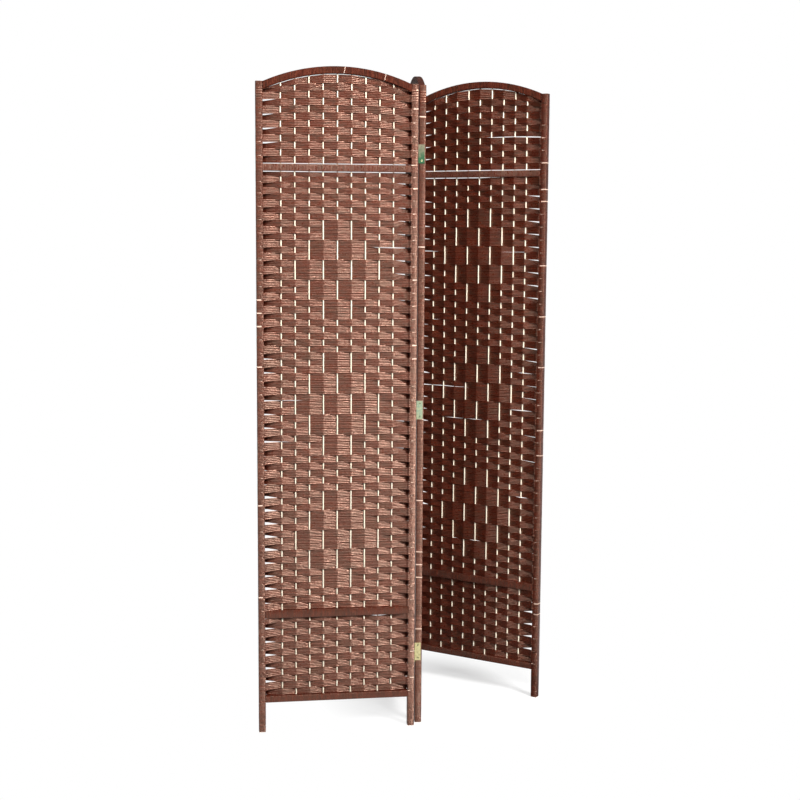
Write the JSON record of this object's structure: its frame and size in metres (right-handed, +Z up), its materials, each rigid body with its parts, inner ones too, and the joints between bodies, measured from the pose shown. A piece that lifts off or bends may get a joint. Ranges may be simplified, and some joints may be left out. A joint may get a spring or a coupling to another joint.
{
  "type": "three-panel woven folding screen",
  "caption": "Free-standing folding screen: arched wooden frames wound with brown paper-fibre strip, woven diamond fields on pale stakes, brass butt hinges",
  "frame": {"origin": "centre of the bounding box at floor level, with the screen standing in a zigzag as pictured", "axes": "+Z up; -Y towards the viewer; +X to the viewer's right; the middle panel runs along Y"},
  "size_m": [0.8252, 0.5048, 1.8],
  "materials": {
    "frame_wood": "bare sanded softwood, matte",
    "stake_wood": "pale smooth stakes, satin",
    "fibre_strip": "twisted paper fibre strip, matte with a slight sheen",
    "hinge_brass": "pressed brass, lightly polished"
  },
  "bodies": {
    "left_panel": {"left_left_stile": "frame_wood", "left_left_stile_wrap": "fibre_strip", "left_right_stile": "frame_wood", "left_right_stile_wrap": "fibre_strip", "left_arch_rail": "fibre_strip", "left_upper_rail": "fibre_strip", "left_lower_rail": "fibre_strip", "left_bottom_rail": "fibre_strip", "left_stakes": "stake_wood", "left_weave_top": "fibre_strip", "left_weave_middle": "fibre_strip", "left_weave_bottom": "fibre_strip", "left_hinge_single_leaves": "hinge_brass"},
    "middle_panel": {"middle_left_stile": "frame_wood", "middle_left_stile_wrap": "fibre_strip", "middle_right_stile": "frame_wood", "middle_right_stile_wrap": "fibre_strip", "middle_arch_rail": "fibre_strip", "middle_upper_rail": "fibre_strip", "middle_lower_rail": "fibre_strip", "middle_bottom_rail": "fibre_strip", "middle_stakes": "stake_wood", "middle_weave_top": "fibre_strip", "middle_weave_middle": "fibre_strip", "middle_weave_bottom": "fibre_strip", "left_hinge_double_leaves": "hinge_brass", "right_hinge_double_leaves": "hinge_brass"},
    "right_panel": {"right_left_stile": "frame_wood", "right_left_stile_wrap": "fibre_strip", "right_right_stile": "frame_wood", "right_right_stile_wrap": "fibre_strip", "right_arch_rail": "fibre_strip", "right_upper_rail": "fibre_strip", "right_lower_rail": "fibre_strip", "right_bottom_rail": "fibre_strip", "right_stakes": "stake_wood", "right_weave_top": "fibre_strip", "right_weave_middle": "fibre_strip", "right_weave_bottom": "fibre_strip", "right_hinge_single_leaves": "hinge_brass"}
  },
  "joints": [
    {"name": "left_fold", "type": "hinge", "parent": "middle_panel", "child": "left_panel", "pos_m": [0.01957, -0.19989, 0.879], "axis": [0, 0, 1], "range_deg": [-94, 86]},
    {"name": "right_fold", "type": "hinge", "parent": "middle_panel", "child": "right_panel", "pos_m": [0.04477, 0.23491, 0.879], "axis": [0, 0, 1], "range_deg": [-55, 125]}
  ]
}
